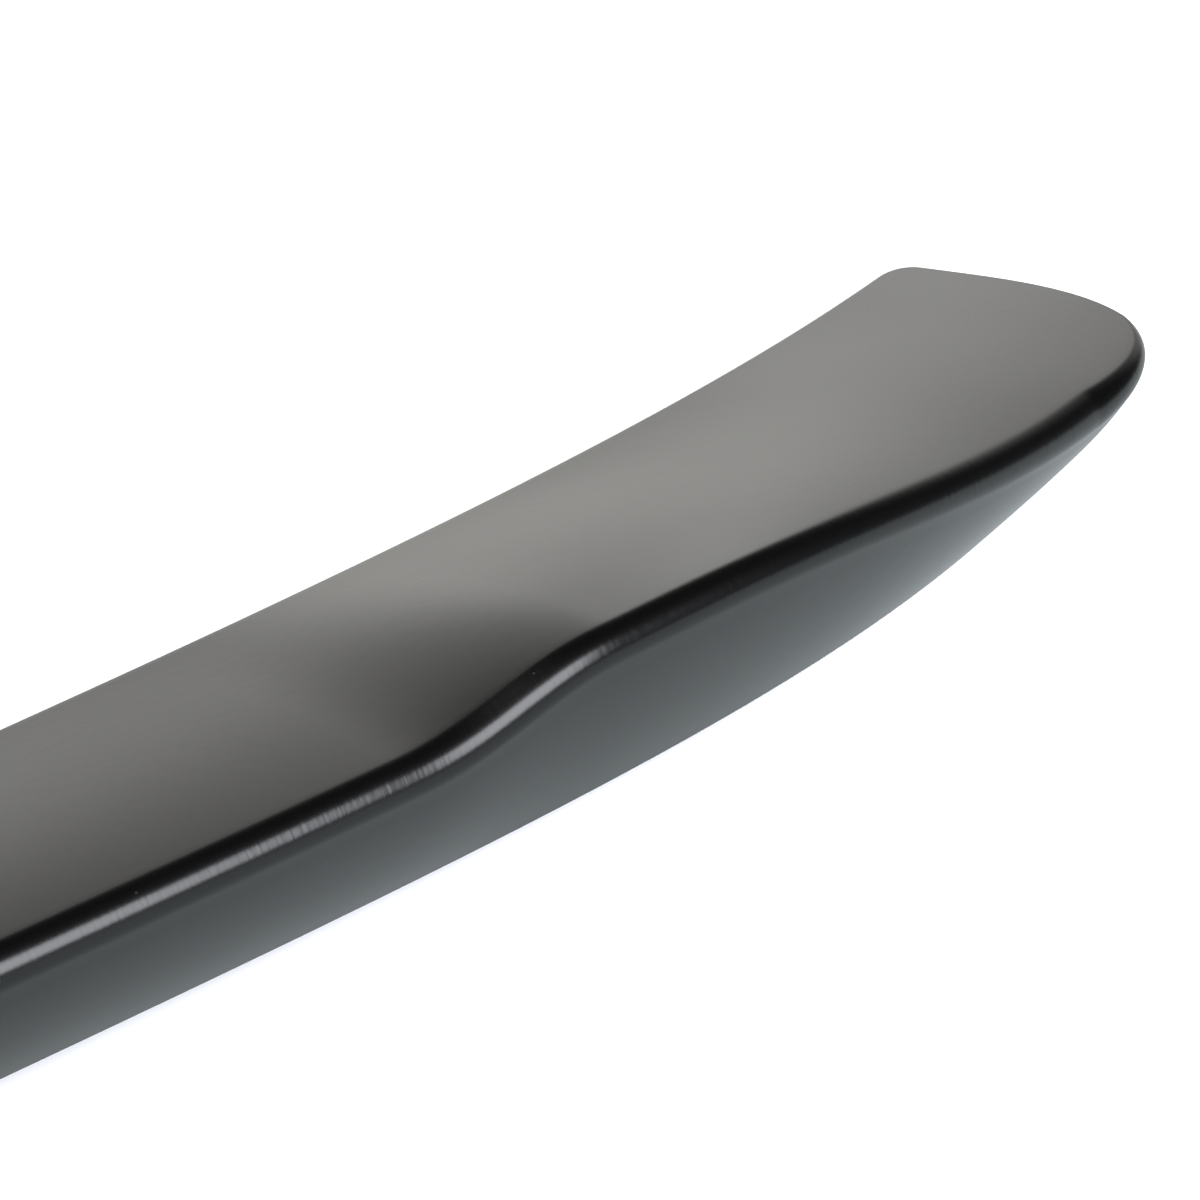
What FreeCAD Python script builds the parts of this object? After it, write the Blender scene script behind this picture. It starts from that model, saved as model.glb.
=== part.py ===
"""Rear lip spoiler for a saloon's boot lid: one moulded shell, open underneath, with bonding lands.

Drawn in the car's own directions: +X to the right, +Y forward, +Z up.
While it is being drawn, zero is the middle of the front edge where it sits on the lid.
"""
import FreeCAD, Part
import os
from FreeCAD import Vector

# Plan view. Sweeps are how far the ends come forward of the middle.
half_width = 616.0
chord = 110.5
front_sweep = 51.2
front_end_sweep = 19.4
lip_sweep = 29.7
lip_end_sweep = 32.2
lip_overhang = 17.0
foot_sweep = 23.6
foot_end_sweep = 55.7

# Rounded ends
corner_reach = 42.0
corner_pull = 57.0
end_pull = 60.0
end_toe = 0.16
end_lean = 10.0
front_corner = 10.0

# Heights above the lid
boot_crown = 21.5
boot_fall = 1.8
front_thickness = 2.5
top_lead = 1.1
top_ease = 0.6
lip_height = 42.8
step_inset = 281.0
step_length = 65.0
step_rise = 11.0
lip_end_fall = 17.5

# Rounding of the rim. The nose has thinned out at a share of the end curve: the first that closes.
nose_radius = 6.0
nose_runs = (0.45, 0.4, 0.5, 0.55, 0.35)
front_radius = 1.2

# Inside of the moulding
skin = 4.0
rear_wall = 6.5
end_wall = 6.5
flange = 3.0
rear_land = 15.0
end_land = 15.0
front_land = 20.0
rib_pitch = 100.0
rib_thickness = 2.2

# Construction margins, well outside the finished part
margin = 40.0
floor_level = -40.0
roof_level = 75.0

step_start = half_width - step_inset
step_end = step_start + step_length
corner_start = half_width - corner_reach


def share(x):
    return abs(x) / half_width


def swell(t):
    """Smooth S-shaped rise from 0 to 1."""
    t = min(max(t, 0.0), 1.0)
    return t * t * t * (t * (6.0 * t - 15.0) + 10.0)


def front_y(x):
    return front_sweep * share(x) ** 2 + front_end_sweep * share(x) ** 6


def lip_y(x):
    return -chord + lip_sweep * share(x) ** 2 + lip_end_sweep * share(x) ** 6


def foot_y(x):
    return -chord + lip_overhang + foot_sweep * share(x) ** 2 + foot_end_sweep * share(x) ** 6


def crown_z(x):
    return -boot_crown * share(x) ** 2


def boot_z(x, y):
    return crown_z(x) - boot_fall * (front_y(x) - y) / (chord - lip_overhang)


def lip_z(x):
    rise = step_rise * swell((abs(x) - step_start) / step_length)
    fall = lip_end_fall * swell((abs(x) - step_end) / (half_width - step_end))
    return crown_z(x) + lip_height + rise - fall


def spaced(first, last, count):
    return [first + (last - first) * i / count for i in range(1, count + 1)]


def mirrored(half):
    return [-x for x in reversed(half)] + [0.0] + half


def stations(last):
    half = spaced(0.0, step_start, 6) + spaced(step_start, step_end, 6) + spaced(step_end, last, 8)
    return mirrored(half)


def spline(points, parameters):
    curve = Part.BSplineCurve()
    curve.interpolate(Points=points, Parameters=parameters)
    return curve


def bezier(poles):
    curve = Part.BezierCurve()
    curve.setPoles(poles)
    return curve


def split(curve, at):
    """The two parts of a curve on either side of a parameter."""
    before = curve.copy()
    before.segment(0.0, at)
    after = curve.copy()
    after.segment(at, 1.0)
    return [before, after]


def top_section(x, drop):
    """Cubic from ahead of the front edge to behind the lip: steep at first, easing off at the lip."""
    depth = front_y(x) - lip_y(x)
    start = crown_z(x) + front_thickness
    rise = lip_z(x) - start
    square = 3.0 - 2.0 * top_lead - top_ease
    cube = top_lead + top_ease - 2.0

    def height(d):
        t = d / depth
        return start + rise * t * (top_lead + t * (square + t * cube)) - drop

    def slope(d):
        t = d / depth
        return rise / depth * (top_lead + t * (2.0 * square + 3.0 * t * cube))

    first = -margin
    last = depth + margin
    third = (last - first) / 3.0
    poles = [
        Vector(x, front_y(x) - first, height(first)),
        Vector(x, front_y(x) - first - third, height(first) + third * slope(first)),
        Vector(x, front_y(x) - last + third, height(last) - third * slope(last)),
        Vector(x, front_y(x) - last, height(last)),
    ]
    return Part.Wire([bezier(poles).toShape()])


def under_top(drop):
    """Everything below the upper skin lowered by drop."""
    sections = [top_section(x, drop) for x in stations(half_width + margin)]
    return Part.makeLoft(sections, False).Faces[0].extrude(Vector(0, 0, 3 * floor_level))


def boot(lift):
    """The boot lid's surface raised by lift, with everything below it."""
    sections = []
    for x in stations(half_width + margin):
        ahead = front_y(x) + margin
        behind = lip_y(x) - margin
        start = Vector(x, ahead, boot_z(x, ahead) + lift)
        finish = Vector(x, behind, boot_z(x, behind) + lift)
        sections.append(Part.Wire([Part.LineSegment(start, finish).toShape()]))
    return Part.makeLoft(sections, False).Faces[0].extrude(Vector(0, 0, 3 * floor_level))


def trailing(level, rear_in, end_in):
    """The rear face where it passes a level, moved forward by rear_in."""
    xs = stations(corner_start - end_in)
    points = []
    for x in xs:
        foot_z = boot_z(x, foot_y(x))
        climb = (level - foot_z) / (lip_z(x) - foot_z)
        y = foot_y(x) + climb * (lip_y(x) - foot_y(x)) + rear_in
        points.append(Vector(x, y, level))
    return spline(points, xs)


def outline(level, rear_in, end_in, front_in, run):
    """Closed plan outline at one level: rear face, bowed ends, small front corners, front edge."""
    rear = trailing(level, rear_in, end_in)
    rear_end = rear.value(rear.LastParameter)
    along = rear.tangent(rear.LastParameter)[0]
    lean = end_lean * (level - floor_level) / (roof_level - floor_level)
    tip_x = half_width - lean - end_in
    tip = Vector(tip_x, front_y(tip_x) - front_in, level)
    back = Vector(end_toe, -1.0, 0.0).normalize()
    end_front = tip + back * front_corner
    end_poles = [
        rear_end,
        rear_end + along * corner_pull,
        end_front + back * max(end_pull - front_in, end_pull / 4.0),
        end_front,
    ]
    xs = mirrored(spaced(0.0, tip_x - front_corner, 8))
    front = spline([Vector(x, front_y(x) - front_in, level) for x in xs], xs)
    front_end = front.value(front.LastParameter)
    corner_poles = [
        end_front,
        end_front + (tip - end_front) * 0.6,
        front_end + (tip - front_end) * 0.6,
        front_end,
    ]
    right = [part.toShape() for part in split(bezier(end_poles), run)]
    right.append(bezier(corner_poles).toShape())
    left = [edge.mirror(Vector(0, 0, 0), Vector(1, 0, 0)) for edge in right]
    return Part.Wire(Part.__sortEdges__([rear.toShape(), front.toShape()] + right + left))


def walls(rear_in, end_in, front_in, run=nose_runs[0]):
    """Solid inside the rear face, the ends and the front edge, each moved inward."""
    low = outline(floor_level, rear_in, end_in, front_in, run)
    high = outline(roof_level, rear_in, end_in, front_in, run)
    return Part.makeLoft([low, high], True, True)


def rim_radius(point):
    """Full nose along the lip, thin edge from the tips forward."""
    on_lip = point.y < lip_y(corner_start) / 2.0 and abs(point.x) < corner_start + 1.0
    return nose_radius if on_lip else front_radius


def rounded(body):
    """Round the edge between the upper skin and the walls, going once round it in one direction."""
    middle = Part.Vertex(0, lip_y(0) / 2.0, lip_height)
    top = min(body.Faces, key=lambda face: face.distToShape(middle)[0])
    waiting = []
    for number, edge in enumerate(body.Edges, 1):
        if any(edge.isSame(other) for other in top.Edges):
            waiting.append((number, edge.valueAt(edge.FirstParameter), edge.valueAt(edge.LastParameter)))
    number, start, finish = waiting.pop(0)
    radii = [(number, rim_radius(start), rim_radius(finish))]
    while waiting:
        waiting.sort(key=lambda item: min(item[1].distanceToPoint(finish), item[2].distanceToPoint(finish)))
        number, near, far = waiting.pop(0)
        if far.distanceToPoint(finish) < near.distanceToPoint(finish):
            near, far = far, near
        radii.append((number, rim_radius(near), rim_radius(far)))
        finish = far
    document = FreeCAD.newDocument()
    base = document.addObject("Part::Feature", "Base")
    base.Shape = body
    rim = document.addObject("Part::Fillet", "Rim")
    rim.Base = base
    rim.Edges = radii
    document.recompute()
    return rim.Shape


def cavity():
    """The open inside: walls left all round, a flange along the rear and the ends, and cross ribs."""
    room = walls(rear_wall, end_wall, front_land).common(under_top(skin))
    below = boot(flange)
    room = room.cut(below.cut(walls(rear_land, end_land, -margin / 2.0)))
    count = int((corner_start - end_land) / rib_pitch)
    ribs = []
    for i in range(-count, count + 1):
        corner = Vector(i * rib_pitch - rib_thickness / 2.0, -2.0 * chord, floor_level)
        ribs.append(Part.makeBox(rib_thickness, 4.0 * chord, roof_level - floor_level, corner))
    return room.cut(Part.makeCompound(ribs).cut(below))


def main():
    for run in nose_runs:
        block = walls(0, 0, 0, run).common(under_top(0)).cut(boot(0))
        shell = rounded(block.Solids[0])
        if shell.Solids and shell.isValid():
            break
    spoiler = shell.Solids[0].cut(cavity()).Solids[0]
    box = spoiler.optimalBoundingBox()
    spoiler.translate(Vector(0, -(box.YMin + box.YMax) / 2.0, -box.ZMin))
    os.makedirs("parts", exist_ok=True)
    spoiler.exportStep("parts/spoiler.step")


main()
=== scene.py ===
# %% [markdown]
# # A rear lip spoiler, rebuilt from one photo
# The part is one black plastic moulding that is bonded to the edge of a saloon's boot lid.
# The imported CAD part gives the size and the place of everything. It is loaded first, and its
# box later sets where the fine skin goes.

# %% Load the imported part
import bmesh
import bpy
import math
import numpy as np
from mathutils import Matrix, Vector
from mathutils.bvhtree import BVHTree


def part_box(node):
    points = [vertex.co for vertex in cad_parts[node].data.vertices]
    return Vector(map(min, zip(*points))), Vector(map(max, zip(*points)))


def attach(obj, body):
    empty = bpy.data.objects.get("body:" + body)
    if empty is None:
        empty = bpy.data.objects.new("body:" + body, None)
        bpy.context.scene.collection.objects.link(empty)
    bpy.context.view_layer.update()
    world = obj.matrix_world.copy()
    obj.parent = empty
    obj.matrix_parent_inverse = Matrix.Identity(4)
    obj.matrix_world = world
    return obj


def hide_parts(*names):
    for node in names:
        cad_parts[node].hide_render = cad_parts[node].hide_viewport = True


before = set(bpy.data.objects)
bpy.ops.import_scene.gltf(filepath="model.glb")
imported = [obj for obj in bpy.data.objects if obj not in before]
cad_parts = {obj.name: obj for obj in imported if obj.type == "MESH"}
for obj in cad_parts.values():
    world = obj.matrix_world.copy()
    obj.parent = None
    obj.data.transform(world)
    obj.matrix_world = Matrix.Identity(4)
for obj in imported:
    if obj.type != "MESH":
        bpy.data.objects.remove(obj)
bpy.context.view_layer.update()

# %% [markdown]
# ## The curves that shape the spoiler
# A glossy black surface shows every facet in its reflections, so the outer skin is made again
# here as a fine grid. It could be made by subdividing the CAD mesh, but that would also round
# off the facets' errors into waves. Evaluating the design curves directly is exact, so each
# curve of the CAD part is written as a small function of x, in millimetres.

# %% Plan curves: front edge, trailing lip and foot of the rear face
HALF_WIDTH = 616.0
CHORD = 110.5
OVERHANG = 17.0
FRONT_SWEEP, FRONT_END_SWEEP = 51.2, 19.4
LIP_SWEEP, LIP_END_SWEEP = 29.7, 32.2
FOOT_SWEEP, FOOT_END_SWEEP = 23.6, 55.7


def share(x):
    return np.abs(x) / HALF_WIDTH


def swept(x, start, sweep, end_sweep):
    """A line across the car that comes forward towards the ends."""
    return start + sweep * share(x) ** 2 + end_sweep * share(x) ** 6


def front_y(x):
    return swept(x, 0.0, FRONT_SWEEP, FRONT_END_SWEEP)


def lip_y(x):
    return swept(x, -CHORD, LIP_SWEEP, LIP_END_SWEEP)


def foot_y(x):
    return swept(x, OVERHANG - CHORD, FOOT_SWEEP, FOOT_END_SWEEP)


end_depth = front_y(HALF_WIDTH) - lip_y(HALF_WIDTH)
print("depth in the middle and at full width:", CHORD, round(float(end_depth), 1))

# %% Heights: crown of the lid and stepped lip
BOOT_CROWN, BOOT_FALL = 21.5, 1.8
LIP_HEIGHT = 42.8
STEP_START, STEP_LENGTH, STEP_RISE = 335.0, 65.0, 11.0
STEP_END = STEP_START + STEP_LENGTH
LIP_END_FALL = 17.5


def swell(t):
    """Smooth S-shaped rise from 0 to 1."""
    t = np.clip(t, 0.0, 1.0)
    return t ** 3 * (t * (6.0 * t - 15.0) + 10.0)


def crown_z(x):
    return -BOOT_CROWN * share(x) ** 2


def boot_z(x, y):
    return crown_z(x) - BOOT_FALL * (front_y(x) - y) / (CHORD - OVERHANG)


def lip_z(x):
    rise = STEP_RISE * swell((np.abs(x) - STEP_START) / STEP_LENGTH)
    fall = LIP_END_FALL * swell((np.abs(x) - STEP_END) / (HALF_WIDTH - STEP_END))
    return crown_z(x) + LIP_HEIGHT + rise - fall


print("lip height in the middle and past the step:", [round(float(lip_z(x)), 1) for x in (0.0, STEP_END)])

# %% The easing curve of the upper skin
FRONT_THICKNESS = 2.5
TOP_LEAD, TOP_EASE = 1.1, 0.6


def top_z(x, y):
    """Height of the upper skin: in each section a cubic that eases off towards the lip."""
    start = crown_z(x) + FRONT_THICKNESS
    t = (front_y(x) - y) / (front_y(x) - lip_y(x))
    curve = TOP_LEAD + t * (3 - 2 * TOP_LEAD - TOP_EASE + t * (TOP_LEAD + TOP_EASE - 2))
    return start + (lip_z(x) - start) * t * curve


print("height half way back in the middle:", round(float(top_z(0.0, -CHORD / 2)), 1))

# %% [markdown]
# ## The wall that goes round the edge
# Seen from above, the moulding is bounded by the rear face, two bowed ends, two small front
# corners and the front edge. Each of them is a straight-ruled wall between one outline low down
# and one high up. A station below is one such ruling, and stations run in two chains from the
# middle of the car to the middle of the front corner: one along the back, one along the front.

# %% Outlines at a low and a high level
LOW, HIGH = -40.0, 75.0
CORNER_START = HALF_WIDTH - 42.0
CORNER_PULL, END_PULL = 57.0, 60.0
END_TOE, END_LEAN = 0.16, 10.0
FRONT_CORNER, CORNER_FULLNESS = 10.0, 0.6
BACK = np.array([END_TOE, -1.0]) / math.hypot(END_TOE, 1.0)
SMALL_STEP = 0.05


def bezier(poles, t):
    t = t[:, None]
    weights = [(1 - t) ** 3, 3 * t * (1 - t) ** 2, 3 * t * t * (1 - t), t ** 3]
    return sum(w * p for w, p in zip(weights, poles))


def rear_points(x, level):
    foot_z = boot_z(x, foot_y(x))
    climb = (level - foot_z) / (lip_z(x) - foot_z)
    return np.stack([x, foot_y(x) + climb * (lip_y(x) - foot_y(x))], 1)


def outline_parts(level):
    """Poles of the bowed end and of the front corner at one level."""
    start, nearly = rear_points(np.array([CORNER_START, CORNER_START - SMALL_STEP]), level)
    along = (start - nearly) / np.linalg.norm(start - nearly)
    tip_x = HALF_WIDTH - END_LEAN * (level - LOW) / (HIGH - LOW)
    tip = np.array([tip_x, front_y(tip_x)])
    end_front = tip + BACK * FRONT_CORNER
    edge_x = tip_x - FRONT_CORNER
    edge_end = np.array([edge_x, front_y(edge_x)])
    end = [start, start + along * CORNER_PULL, end_front + BACK * END_PULL, end_front]
    after_end = end_front + (tip - end_front) * CORNER_FULLNESS
    before_edge = edge_end + (tip - edge_end) * CORNER_FULLNESS
    return end, [end_front, after_end, before_edge, edge_end]


print("front corner of the low outline at", np.round(outline_parts(LOW)[1][0], 1))

# %% Stations along the back and along the front
LIP_STATIONS, END_STATIONS, CORNER_STATIONS = 300, 120, 14
FRONT_SPLIT = 0.905
lip_x = np.linspace(0.0, CORNER_START, LIP_STATIONS, endpoint=False)
end_t = np.linspace(0.0, 1.0, END_STATIONS, endpoint=False)
corner_t = np.linspace(0.0, 0.5, CORNER_STATIONS)
inner_share = np.linspace(0.0, FRONT_SPLIT, LIP_STATIONS, endpoint=False)
outer_share = np.linspace(FRONT_SPLIT, 1.0, END_STATIONS, endpoint=False)


def back_chain(level):
    end, corner = outline_parts(level)
    return np.concatenate([rear_points(lip_x, level), bezier(end, end_t), bezier(corner, corner_t)])


def front_chain(level):
    corner = outline_parts(level)[1]
    reach = corner[3][0]
    x = np.concatenate([inner_share, outer_share]) * reach
    return np.concatenate([np.stack([x, front_y(x)], 1), bezier(corner, 1.0 - corner_t)])


print("stations in each chain:", len(back_chain(LOW)))

# %% [markdown]
# ## The rounded rim
# The lip of the real part is a soft nose of about 6 mm radius that thins out round the tips.
# A bevel modifier could round a sharp edge, but the angle of this edge changes all the time and
# the nose should keep its radius. So at each station a ball of that radius is let down between
# the wall and the upper skin until it touches both, and its arc is the nose. The rear face gets
# a crown of 1.3 mm, which makes it lighter towards the bottom as in the photo.

# %% Where the walls meet the upper skin and the lid
MEET_HALVINGS = 60


def on_ruling(low, high, z):
    return low + (high - low) * ((z - LOW) / (HIGH - LOW))[:, None]


def meet(low, high, surface):
    """Points at which the rulings reach a surface, found by halving."""
    under, over = np.full(len(low), LOW), np.full(len(low), HIGH)
    for _ in range(MEET_HALVINGS):
        z = (under + over) / 2
        below = z < surface(*on_ruling(low, high, z).T)
        under, over = np.where(below, z, under), np.where(below, over, z)
    return np.column_stack([on_ruling(low, high, z), z])


print("middle of the lip at", np.round(meet(back_chain(LOW), back_chain(HIGH), top_z)[0], 1))

# %% Normals of the upper skin, and its point nearest to a ball
TOUCH_STEPS = 6


def unit(v):
    return v / np.linalg.norm(v, axis=1)[:, None]


def steepness(x, y, step=0.01):
    """Unit normals of the upper skin."""
    slope_x = (top_z(x + step, y) - top_z(x - step, y)) / (2 * step)
    slope_y = (top_z(x, y + step) - top_z(x, y - step)) / (2 * step)
    return unit(np.column_stack([-slope_x, -slope_y, np.ones_like(x)]))


def touch(centre):
    """Nearest points of the upper skin, by stepping along its normal."""
    x, y = centre[:, 0], centre[:, 1]
    for _ in range(TOUCH_STEPS):
        point = np.column_stack([x, y, top_z(x, y)])
        normal = steepness(x, y)
        x, y = (centre - ((centre - point) * normal).sum(1)[:, None] * normal)[:, :2].T
    return np.column_stack([x, y, top_z(x, y)])


print("normal half way back:", np.round(steepness(np.zeros(1), np.full(1, -CHORD / 2))[0], 2))

# %% Let the ball down at every station
BALL_HALVINGS, DEEPEST_DROP = 40, 30.0
INSIDE_SHARE = 0.93


def inward_normals(rim, down):
    """Normals of the wall that point into the part."""
    run = unit(np.gradient(rim, axis=0))
    run[0] = [1.0, 0.0, 0.0]
    inward = unit(np.cross(down, run))
    inside = INSIDE_SHARE * rim[:, 0]
    target = np.column_stack([inside, (front_y(inside) + lip_y(inside)) / 2]) - rim[:, :2]
    return inward * np.sign((inward[:, :2] * target).sum(1))[:, None]


def seat_ball(rim, down, inward, radius):
    """Where the ball touches the wall, its centre, and where it touches the upper skin."""
    near, far = np.zeros(len(rim)), np.full(len(rim), DEEPEST_DROP)
    for _ in range(BALL_HALVINGS):
        drop = (near + far) / 2
        wall_end = rim + down * drop[:, None]
        centre = wall_end + inward * radius[:, None]
        top_end = touch(centre)
        room = ((top_end - centre) * steepness(*top_end[:, :2].T)).sum(1)
        near, far = np.where(room < radius, drop, near), np.where(room < radius, far, drop)
    return wall_end, centre, top_end


def cross_section(chain, radius, arc_count, wall_count, bulge):
    """Points from the foot of the wall over the rounded rim to the upper skin, for every station."""
    low, high = chain(LOW), chain(HIGH)
    rim, foot = meet(low, high, top_z), meet(low, high, boot_z)
    down = unit(foot - rim)
    inward = inward_normals(rim, down)
    wall_end, centre, top_end = seat_ball(rim, down, inward, radius)
    first, last = unit(wall_end - centre), unit(top_end - centre)
    sweep = np.arccos((first * last).sum(1))[:, None]
    t = np.linspace(0.0, 1.0, arc_count + 1)[:, None, None]
    turn = (np.sin((1 - t) * sweep) * first + np.sin(t * sweep) * last) / np.sin(sweep)
    arc = centre + radius[:, None] * turn
    s = np.linspace(0.0, 1.0, wall_count, endpoint=False)[:, None, None]
    wall = foot * (1 - s) + wall_end * s - inward * (bulge * 4 * s * (1 - s))
    return np.concatenate([wall, arc]), rim


# %% Rows of points over the lip and over the front edge
NOSE, EDGE = 6.0, 1.2
NOSE_RUN = 0.45
REAR_CROWN = 1.3
WALL_ROWS, ARC_ROWS = 12, 16
FRONT_WALL_ROWS, FRONT_ARC_ROWS = 3, 6

taper = np.clip(end_t / NOSE_RUN, 0.0, 1.0)
end_radius = NOSE + (EDGE - NOSE) * taper
nose_radius = np.concatenate([np.full(LIP_STATIONS, NOSE), end_radius, np.full(CORNER_STATIONS, EDGE)])
edge_radius = np.full(len(nose_radius), EDGE)
back_rows, back_rim = cross_section(back_chain, nose_radius, ARC_ROWS, WALL_ROWS, REAR_CROWN)
front_rows, front_rim = cross_section(front_chain, edge_radius, FRONT_ARC_ROWS, FRONT_WALL_ROWS, 0.0)
print("lip runs from", np.round(back_rim[0], 1), "to", np.round(back_rim[-1], 1))
print("front edge runs from", np.round(front_rim[0], 1), "to", np.round(front_rim[-1], 1))

# %% [markdown]
# ## One grid for the whole outer skin
# Rows of points on the upper skin join the rounded lip to the rounded front edge. With the walls
# they make one grid, which is mirrored about the middle of the car and turned into a mesh. The
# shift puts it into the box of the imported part.

# %% Lay out the grid
TOP_ROWS = 60
PER_METRE = 1000.0

s = np.linspace(0.0, 1.0, TOP_ROWS + 1)[1:-1, None, None]
top_rows = back_rows[-1] * (1 - s) + front_rows[-1] * s
top_rows[..., 2] = top_z(top_rows[..., 0], top_rows[..., 1])
half_grid = np.concatenate([back_rows, top_rows, front_rows[::-1]])
grid = np.concatenate([half_grid[:, :0:-1] * [-1, 1, 1], half_grid], axis=1)

box_low, box_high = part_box("spoiler")
points = grid.reshape(-1, 3) / PER_METRE
shift = np.array([
    0.0,
    (box_low.y + box_high.y) / 2 - (points[:, 1].min() + points[:, 1].max()) / 2,
    box_low.z - points[:, 2].min(),
])
points = points + shift
rows, columns = grid.shape[:2]
index = np.arange(rows * columns).reshape(rows, columns)
corners = [index[:-1, :-1], index[:-1, 1:], index[1:, 1:], index[1:, :-1]]
quads = np.stack(corners, -1).reshape(-1, 4)
print("grid of", rows, "by", columns, "points; shift", np.round(shift, 4))

# %% Build the skin mesh
SAME_POINT = 1e-6

mesh = bpy.data.meshes.new("spoiler_skin")
mesh.from_pydata(points.tolist(), [], quads.tolist())
skin = bpy.data.objects.new("spoiler_skin", mesh)
bpy.context.collection.objects.link(skin)
nose = np.zeros((rows, columns))
over_the_nose = np.sin(np.linspace(0.0, np.pi, ARC_ROWS + 1))
nose[WALL_ROWS:WALL_ROWS + ARC_ROWS + 1] = over_the_nose[:, None]
nose_values = mesh.attributes.new("nose", "FLOAT", "POINT").data
nose_values.foreach_set("value", nose.ravel().astype(np.float32))
work = bmesh.new()
work.from_mesh(mesh)
bmesh.ops.remove_doubles(work, verts=work.verts, dist=SAME_POINT)
bmesh.ops.recalc_face_normals(work, faces=work.faces)
if sum(f.normal.z for f in work.faces) < 0:
    bmesh.ops.reverse_faces(work, faces=work.faces)
work.to_mesh(mesh)
work.free()
mesh.shade_smooth()
print("skin:", len(mesh.polygons), "faces")

# %% [markdown]
# ## The underside
# Nobody sees the inside of a fitted spoiler, but the part can be turned over: it is open, with
# bonding lands round it and ribs across it. Those faces are flat enough to come straight from the
# CAD mesh, so a copy of it is kept with only the faces that the fine skin doesn't cover.

# %% Keep the CAD faces under the skin
COVER_DISTANCE = 0.0035
COVER_FACING = 0.3
SHARP_ANGLE = math.radians(30)

skin_tree = BVHTree.FromPolygons([v.co for v in mesh.vertices], [p.vertices for p in mesh.polygons])
under_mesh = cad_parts["spoiler"].data.copy()
under_mesh.name = "spoiler_underside"
work = bmesh.new()
work.from_mesh(under_mesh)
bmesh.ops.remove_doubles(work, verts=work.verts, dist=SAME_POINT)
covered = []
for face in work.faces:
    _, normal, _, distance = skin_tree.find_nearest(face.calc_center_median())
    if distance < COVER_DISTANCE and normal.dot(face.normal) > COVER_FACING:
        covered.append(face)
covered_count = len(covered)
bmesh.ops.delete(work, geom=covered, context="FACES")
for edge in work.edges:
    edge.smooth = len(edge.link_faces) == 2 and edge.calc_face_angle() < SHARP_ANGLE
for face in work.faces:
    face.smooth = True
work.to_mesh(under_mesh)
work.free()
underside = bpy.data.objects.new("spoiler_underside", under_mesh)
bpy.context.collection.objects.link(underside)
print("underside keeps", len(under_mesh.polygons), "faces and leaves", covered_count, "to the skin")

# %% [markdown]
# ## Black plastic
# The moulding is satin-gloss black. Almost all that is seen is reflection, so the base colour is
# nearly black and the finish is in the small things: the orange peel of the mould, a slightly
# uneven sheen, fine lines from sanding across the nose, and a few specks of dust. Each of these
# is a node group with plain inputs, so that it can be used again on another part.

# %% Helpers that start a node group and add a sum to it
WHERE = ("Vector", "NodeSocketVector", None)


def number(name, value):
    """A number socket of a group, with the value it starts from."""
    return name, "NodeSocketFloat", value


def new_group(name, inputs, output):
    tree = bpy.data.node_groups.new(name, "ShaderNodeTree")
    for socket, kind, value in inputs:
        item = tree.interface.new_socket(socket, in_out="INPUT", socket_type=kind)
        if value is not None:
            item.default_value = value
    tree.interface.new_socket(output, in_out="OUTPUT", socket_type="NodeSocketFloat")
    return tree, tree.nodes.new("NodeGroupInput"), tree.nodes.new("NodeGroupOutput")


def math_node(tree, operation, a, b):
    node = tree.nodes.new("ShaderNodeMath")
    node.operation = operation
    for socket, value in zip(node.inputs, (a, b)):
        if isinstance(value, (int, float)):
            socket.default_value = value
        else:
            tree.links.new(value, socket)
    return node.outputs[0]


def noise_node(tree, detail):
    node = tree.nodes.new("ShaderNodeTexNoise")
    node.inputs["Detail"].default_value = detail
    return node


# %% Orange peel
orange_peel, given, put = new_group("Orange_peel", [WHERE, number("Scale", 260.0)], "Height")
fine = noise_node(orange_peel, 1.5)
orange_peel.links.new(given.outputs["Vector"], fine.inputs["Vector"])
orange_peel.links.new(given.outputs["Scale"], fine.inputs["Scale"])
orange_peel.links.new(fine.outputs["Fac"], put.inputs["Height"])
print("node group:", orange_peel.name)

# %% Uneven sheen
sheen_inputs = [WHERE, number("Roughness", 0.2), number("Spread", 0.05)]
uneven_sheen, given, put = new_group("Uneven_sheen", sheen_inputs, "Roughness")
cloud = noise_node(uneven_sheen, 4.0)
cloud.inputs["Scale"].default_value = 14.0
uneven_sheen.links.new(given.outputs["Vector"], cloud.inputs["Vector"])
centred = math_node(uneven_sheen, "SUBTRACT", cloud.outputs["Fac"], 0.5)
change = math_node(uneven_sheen, "MULTIPLY", centred, given.outputs["Spread"])
uneven = math_node(uneven_sheen, "ADD", given.outputs["Roughness"], change)
uneven_sheen.links.new(uneven, put.inputs["Roughness"])
print("node group:", uneven_sheen.name)

# %% Sanding lines: noise squeezed along the lip, so that it becomes lines across the nose
sanding_lines, given, put = new_group("Sanding_lines", [WHERE, number("Mask", 0.0)], "Height")
stretch = sanding_lines.nodes.new("ShaderNodeVectorMath")
stretch.operation = "MULTIPLY"
stretch.inputs[1].default_value = (900.0, 90.0, 90.0)
sanding_lines.links.new(given.outputs["Vector"], stretch.inputs[0])
lines = noise_node(sanding_lines, 2.0)
lines.inputs["Scale"].default_value = 1.0
sanding_lines.links.new(stretch.outputs[0], lines.inputs["Vector"])
masked = math_node(sanding_lines, "MULTIPLY", lines.outputs["Fac"], given.outputs["Mask"])
sanding_lines.links.new(masked, put.inputs["Height"])
print("node group:", sanding_lines.name)

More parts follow.
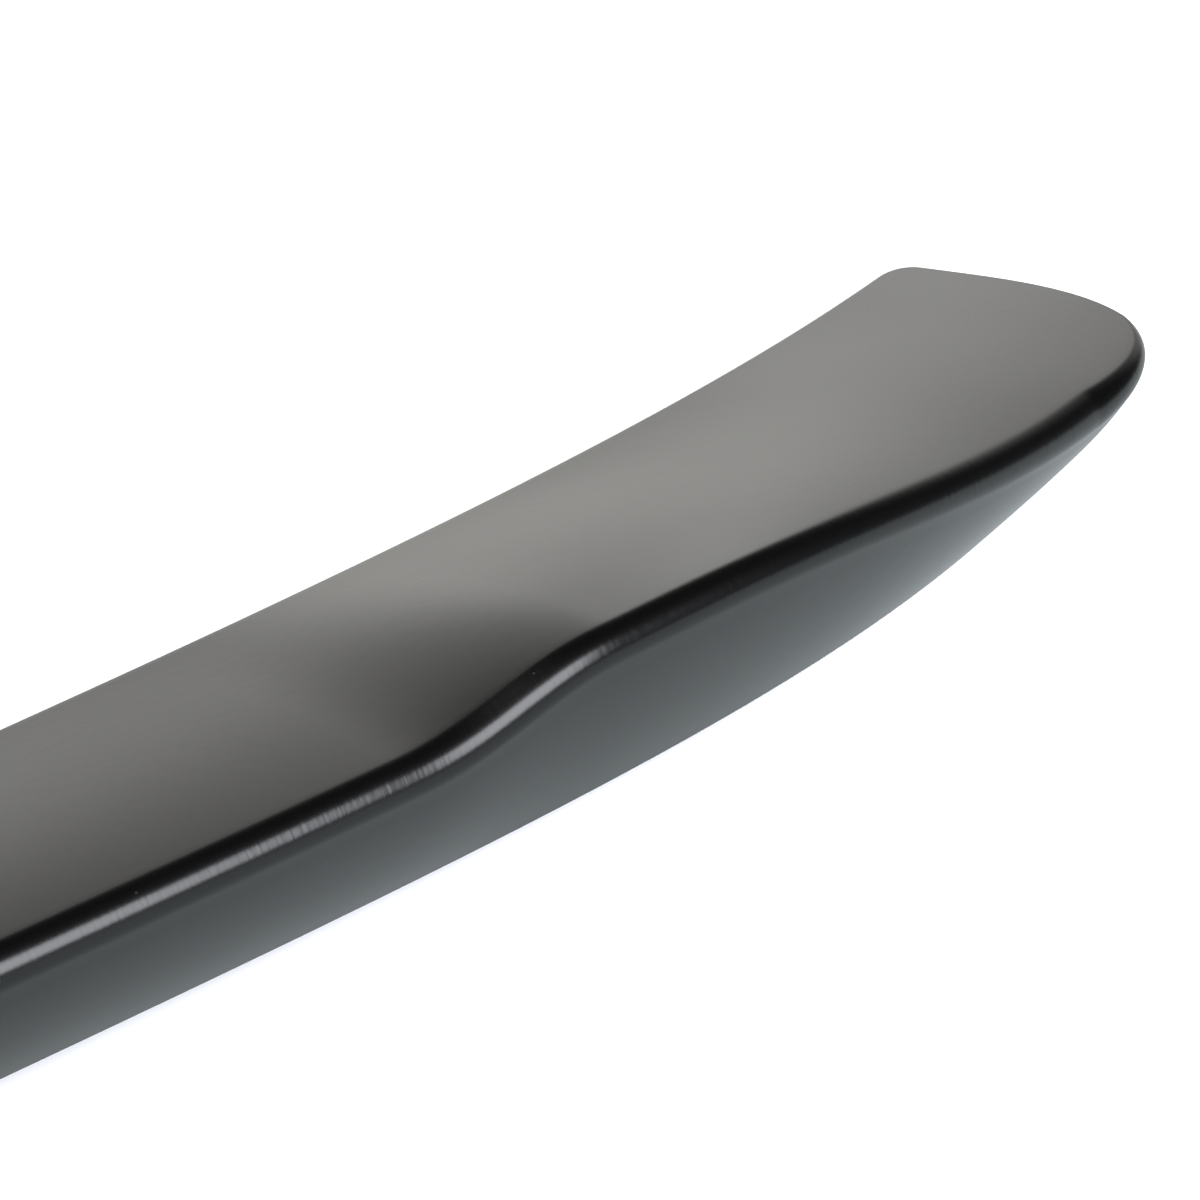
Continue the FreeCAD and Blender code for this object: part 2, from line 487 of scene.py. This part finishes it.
# %% Dust: a speck in the middle of one cell in five
dust_specks, given, put = new_group("Dust_specks", [WHERE, number("Size", 0.05)], "Mask")
cells = dust_specks.nodes.new("ShaderNodeTexVoronoi")
cells.inputs["Scale"].default_value = 160.0
dust_specks.links.new(given.outputs["Vector"], cells.inputs["Vector"])
in_middle = math_node(dust_specks, "LESS_THAN", cells.outputs["Distance"], given.outputs["Size"])
pick = dust_specks.nodes.new("ShaderNodeSeparateColor")
dust_specks.links.new(cells.outputs["Color"], pick.inputs[0])
chosen = math_node(dust_specks, "GREATER_THAN", pick.outputs[0], 0.8)
dust_specks.links.new(math_node(dust_specks, "MULTIPLY", in_middle, chosen), put.inputs["Mask"])
print("node group:", dust_specks.name)

# %% The material: colour and sheen
BLACK = (0.001, 0.001, 0.0011, 1.0)
DUST = (0.02, 0.02, 0.02, 1.0)

material = bpy.data.materials.new("black_plastic")
material.use_nodes = True
nodes, links = material.node_tree.nodes, material.node_tree.links
shader = nodes["Principled BSDF"]
shader.inputs["IOR"].default_value = 1.5
where = nodes.new("ShaderNodeTexCoord").outputs["Object"]


def use_group(tree, **values):
    node = nodes.new("ShaderNodeGroup")
    node.node_tree = tree
    links.new(where, node.inputs["Vector"])
    for name, value in values.items():
        if isinstance(value, (int, float)):
            node.inputs[name].default_value = value
        else:
            links.new(value, node.inputs[name])
    return node.outputs[0]


colour = nodes.new("ShaderNodeMix")
colour.data_type = "RGBA"
colour.inputs["A"].default_value = BLACK
colour.inputs["B"].default_value = DUST
links.new(use_group(dust_specks, Size=0.045), colour.inputs["Factor"])
links.new(colour.outputs["Result"], shader.inputs["Base Color"])
links.new(use_group(uneven_sheen, Roughness=0.27, Spread=0.06), shader.inputs["Roughness"])
print("material:", material.name)

# %% The material: orange peel, and sanding lines on the nose alone
BUMP_DISTANCE = 0.0004
PEEL_STRENGTH, LINE_STRENGTH = 0.05, 0.12


def bump_node(height, strength):
    node = nodes.new("ShaderNodeBump")
    node.inputs["Strength"].default_value = strength
    node.inputs["Distance"].default_value = BUMP_DISTANCE
    links.new(height, node.inputs["Height"])
    return node


nose_mask = nodes.new("ShaderNodeAttribute")
nose_mask.attribute_name = "nose"
peel_bump = bump_node(use_group(orange_peel), PEEL_STRENGTH)
line_bump = bump_node(use_group(sanding_lines, Mask=nose_mask.outputs["Fac"]), LINE_STRENGTH)
links.new(peel_bump.outputs["Normal"], line_bump.inputs["Normal"])
links.new(line_bump.outputs["Normal"], shader.inputs["Normal"])
print("bumps:", peel_bump.name, "and", line_bump.name)

# %% Put the material on both pieces and hand them to the frame
for piece in (skin, underside):
    piece.data.materials.clear()
    piece.data.materials.append(material)
    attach(piece, "root")
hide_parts("spoiler")
print("material on", skin.name, "and", underside.name)

# %% [markdown]
# ## Camera
# The photo is taken from behind, to the left and above, with a long lens. Its place was found by
# fitting the traced edges of the spoiler, so it is set here by the direction it looks in and by
# where it stands, in the same millimetres as the curves.

# %% Set the camera
CAMERA_TURN, CAMERA_TILT = math.radians(36.25), math.radians(36.12)
CAMERA_PLACE = Vector((-12.54, -641.48, 551.15))

camera = bpy.data.objects.new("camera", bpy.data.cameras.new("camera"))
bpy.context.collection.objects.link(camera)
level = math.cos(CAMERA_TILT)
forward = Vector((math.sin(CAMERA_TURN) * level, math.cos(CAMERA_TURN) * level, -math.sin(CAMERA_TILT)))
camera.location = CAMERA_PLACE / PER_METRE + Vector(shift)
camera.rotation_mode = "QUATERNION"
camera.rotation_quaternion = forward.to_track_quat("-Z", "Y")
camera.data.sensor_width = 36.0
camera.data.lens = 115.54
camera.data.clip_end = 100.0
bpy.context.scene.camera = camera
print("camera at", [round(v, 3) for v in camera.location])

# %% [markdown]
# ## Floor and light
# The photo is cut out on white. A pale floor under a white surround does the same and keeps the
# part's soft shadow. In a black surface, what counts is what it mirrors. In the photo these are a
# white table, a light wall ahead of the part with a brighter panel in it, a dark ceiling, which
# makes the black band along the nose, and one softbox behind the camera, which makes the streak.
# Light paths let reflections see that studio while the floor stays plain. Its left side, which
# the photo hardly shows, is lit as well, so that the part doesn't go black from other sides.

# %% A helper for smooth steps in a node tree
def ramp_node(tree, value, start, end, low, high):
    node = tree.nodes.new("ShaderNodeMapRange")
    node.interpolation_type = "SMOOTHSTEP"
    for name, setting in (("From Min", start), ("From Max", end), ("To Min", low), ("To Max", high)):
        node.inputs[name].default_value = setting
    tree.links.new(value, node.inputs["Value"])
    return node.outputs["Result"]


def axes_node(tree, coordinates):
    """The three coordinates of a place or direction, one by one."""
    node = tree.nodes.new("ShaderNodeSeparateXYZ")
    tree.links.new(tree.nodes.new("ShaderNodeTexCoord").outputs[coordinates], node.inputs[0])
    return node.outputs


# %% Floor: plain and pale
bpy.ops.mesh.primitive_plane_add(size=12.0, location=(0, 0, 0))
floor = bpy.context.object
floor.name = "floor"
paint = bpy.data.materials.new("floor_paint")
paint.use_nodes = True
tree = paint.node_tree
flat = tree.nodes["Principled BSDF"]
flat.inputs["Base Color"].default_value = (0.95, 0.96, 0.99, 1.0)
flat.inputs["Roughness"].default_value = 1.0
flat.inputs["Specular IOR Level"].default_value = 0.0
floor.data.materials.append(paint)
print("floor:", [round(v, 1) for v in floor.dimensions])

# %% Floor in reflections: a painted glow for a white table, cooler and dimmer behind the part
TABLE_GLOW_BEHIND = (0.88, 0.97, 1.0, 1.0)
TABLE_GLOW_AHEAD = (1.0, 0.99, 0.95, 1.0)
AHEAD_LEVEL = 1.15

place = axes_node(tree, "Object")
ahead = ramp_node(tree, place["Y"], -0.05, 0.1, 0.0, 1.0)
behind_level = ramp_node(tree, place["X"], 0.0, 0.35, 0.62, 0.9)
tint = tree.nodes.new("ShaderNodeMix")
tint.data_type = "RGBA"
tint.inputs["A"].default_value = TABLE_GLOW_BEHIND
tint.inputs["B"].default_value = TABLE_GLOW_AHEAD
tree.links.new(ahead, tint.inputs["Factor"])
strength = tree.nodes.new("ShaderNodeMix")
strength.inputs["B"].default_value = AHEAD_LEVEL
tree.links.new(ahead, strength.inputs["Factor"])
tree.links.new(behind_level, strength.inputs["A"])
# Painted light: glossy rays see the floor as this glow, dimmer behind the part than ahead of it
glow = tree.nodes.new("ShaderNodeEmission")
tree.links.new(tint.outputs["Result"], glow.inputs["Color"])
tree.links.new(strength.outputs["Result"], glow.inputs["Strength"])
either = tree.nodes.new("ShaderNodeMixShader")
tree.links.new(tree.nodes.new("ShaderNodeLightPath").outputs["Is Glossy Ray"], either.inputs[0])
tree.links.new(flat.outputs[0], either.inputs[1])
tree.links.new(glow.outputs[0], either.inputs[2])
tree.links.new(either.outputs[0], tree.nodes["Material Output"].inputs["Surface"])
print("floor paint:", len(tree.nodes), "nodes")

# %% Surround in reflections: a bright wall with a panel, a dark ceiling and a lit left side
WALL_LEVEL = 0.78
PANEL_LEVEL, PANEL_SLANT = 1.35, 0.4
LEFT_SIDE_LEVEL = 0.7

world = bpy.data.worlds.new("studio")
bpy.context.scene.world = world
world.use_nodes = True
tree = world.node_tree
way = axes_node(tree, "Generated")
ceiling = ramp_node(tree, way["Z"], 0.26, 0.48, 1.0, 0.0)
facing = ramp_node(tree, way["Y"], 0.15, 0.5, 0.03, 1.0)
left_edge = ramp_node(tree, way["X"], 0.44, 0.54, 0.0, PANEL_LEVEL)
slanted = math_node(tree, "SUBTRACT", way["X"], math_node(tree, "MULTIPLY", way["Z"], PANEL_SLANT))
right_edge = ramp_node(tree, slanted, 0.5, 0.585, 1.0, 0.0)
panel = math_node(tree, "MULTIPLY", left_edge, right_edge)
wall = math_node(tree, "ADD", panel, WALL_LEVEL)
wall = math_node(tree, "MULTIPLY", wall, math_node(tree, "MULTIPLY", ceiling, facing))
left_side = ramp_node(tree, way["X"], -0.1, 0.15, LEFT_SIDE_LEVEL, 0.0)
studio = math_node(tree, "MAXIMUM", wall, left_side)
print("studio:", len(tree.nodes), "nodes")

# %% Surround for all else: plain white
WHITE_LEVEL = 1.0

choose = tree.nodes.new("ShaderNodeMix")
choose.inputs["A"].default_value = WHITE_LEVEL
tree.links.new(tree.nodes.new("ShaderNodeLightPath").outputs["Is Glossy Ray"], choose.inputs["Factor"])
tree.links.new(studio, choose.inputs["B"])
background = tree.nodes["Background"]
background.inputs["Color"].default_value = (1.0, 0.99, 0.96, 1.0)
tree.links.new(choose.outputs["Result"], background.inputs["Strength"])
print("surround:", world.name, "at", WHITE_LEVEL)

# %% Softbox: long, behind the camera and to its right
lamp = bpy.data.lights.new("softbox", "AREA")
lamp.shape = "RECTANGLE"
lamp.size, lamp.size_y = 1.7, 0.95
lamp.energy = 46.0
lamp.color = (0.93, 0.95, 1.0)
softbox = bpy.data.objects.new("softbox", lamp)
bpy.context.collection.objects.link(softbox)
softbox.location = (0.27, -1.15, 0.80)
softbox.rotation_mode = "QUATERNION"
softbox.rotation_quaternion = Vector((0.0, 0.82, -0.57)).to_track_quat("-Z", "Y")
bpy.context.scene.view_settings.view_transform = "Standard"
print("softbox:", lamp.energy, "W")
